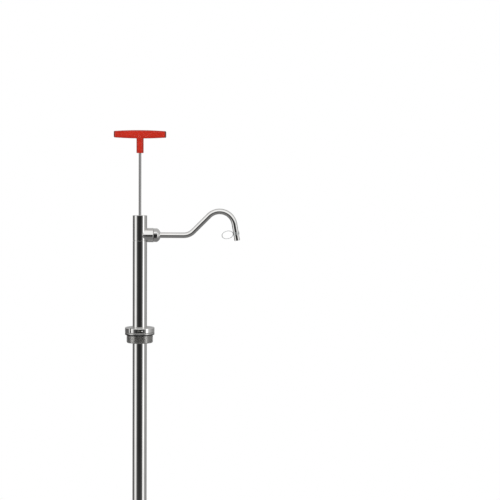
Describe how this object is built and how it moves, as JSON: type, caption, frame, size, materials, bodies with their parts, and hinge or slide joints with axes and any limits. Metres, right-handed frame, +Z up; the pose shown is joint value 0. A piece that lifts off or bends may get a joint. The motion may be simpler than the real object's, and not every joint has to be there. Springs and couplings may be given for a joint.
{
  "type": "drum barrel pump",
  "caption": "Hand drum barrel pump: polished steel tube with a piston on a rod and T-handle, swan-neck spout on a union nut, and a clamp collar on a bung adapter.",
  "frame": {"origin": "centre of the bung seat, on the underside of the gasket, on the barrel's axis", "axes": "+Z up along the barrel and rod, +X along the spout at rest, +Y away from the viewer"},
  "size_m": [0.2826, 0.066, 1.1902],
  "materials": {
    "polished_steel": "polished stainless steel",
    "turned_steel": "fine turned stainless steel",
    "brass": "turned brass",
    "ptfe": "machined white PTFE",
    "black_rubber": "moulded black nitrile rubber",
    "red_handle": "satin moulded red plastic",
    "clear_nylon": "translucent moulded nylon"
  },
  "bodies": {
    "adapter": {"bung_adapter": "turned_steel", "bung_gasket": "black_rubber", "adapter_oring": "black_rubber"},
    "collar": {"clamp_collar": "polished_steel"},
    "clamp_washer": {"clamp_washer": "turned_steel"},
    "clamp_screw": {"clamp_screw": "turned_steel"},
    "barrel": {"immersion_tube": "polished_steel", "head_tube": "polished_steel", "top_plug": "turned_steel", "rod_guide_bush": "ptfe", "rod_packing": "black_rubber", "gland_nut": "turned_steel", "outlet_stub": "polished_steel", "foot_valve_body": "turned_steel", "foot_oring": "black_rubber", "ball_stop_pin": "turned_steel"},
    "foot_ball": {"foot_ball": "polished_steel"},
    "spout": {"spout": "polished_steel", "spout_ferrule": "turned_steel", "outlet_seal": "ptfe", "tether_loop": "clear_nylon"},
    "slip_washer": {"slip_washer": "turned_steel"},
    "union_nut": {"union_nut": "polished_steel"},
    "piston_seals": {"piston_seal_lower": "ptfe", "piston_seal_upper": "ptfe"},
    "rod": {"handle": "red_handle", "handle_insert": "brass", "pump_rod": "polished_steel", "stroke_stop_sleeve": "turned_steel", "rod_lock_nut": "turned_steel", "piston_cage": "turned_steel", "piston_body": "turned_steel", "piston_spacer": "turned_steel", "piston_clamp_ring": "turned_steel"},
    "piston_ball": {"piston_ball": "polished_steel"}
  },
  "joints": [
    {"name": "aim_turn", "type": "hinge", "parent": "adapter", "child": "collar", "pos_m": [0, 0, 0.01075], "axis": [0, 0, 1], "continuous": true},
    {"name": "clamp_screw_out", "type": "slide", "parent": "collar", "child": "clamp_washer", "axis": [0.829, -0.5592, 0], "range_m": [0, 0.0028]},
    {"name": "clamp_screw_turn", "type": "hinge", "parent": "clamp_washer", "child": "clamp_screw", "pos_m": [-0.01398, -0.02073, 0.01075], "axis": [0.829, -0.5592, 0], "range_deg": [0, 1441]},
    {"name": "depth_slide", "type": "slide", "parent": "collar", "child": "barrel", "axis": [0, 0, 1], "range_m": [-0.12, 0.4]},
    {"name": "foot_valve", "type": "slide", "parent": "barrel", "child": "foot_ball", "axis": [0, 0, 1], "range_m": [0, 0.005]},
    {"name": "spout_turn", "type": "hinge", "parent": "barrel", "child": "spout", "pos_m": [0.04, 0, 0.2234], "axis": [1, 0, 0], "continuous": true},
    {"name": "union_nut_out", "type": "slide", "parent": "spout", "child": "slip_washer", "axis": [1, 0, 0], "range_m": [0, 0.00751]},
    {"name": "union_nut_turn", "type": "hinge", "parent": "slip_washer", "child": "union_nut", "pos_m": [0.04, 0, 0.2234], "axis": [1, 0, 0], "range_deg": [0, 1800]},
    {"name": "stroke", "type": "slide", "parent": "barrel", "child": "piston_seals", "axis": [0, 0, 1], "range_m": [-0.13, 0.22]},
    {"name": "handle_turn", "type": "hinge", "parent": "piston_seals", "child": "rod", "pos_m": [0, 0, 0.267], "axis": [0, 0, 1], "continuous": true},
    {"name": "piston_valve", "type": "slide", "parent": "rod", "child": "piston_ball", "axis": [0, 0, 1], "range_m": [0, 0.005]}
  ],
  "couplings": [
    {"joint": "clamp_screw_turn", "follows": "clamp_screw_out", "rad_per_m": 8976},
    {"joint": "union_nut_out", "follows": "union_nut_turn", "m_per_rad": 0.00023873}
  ]
}
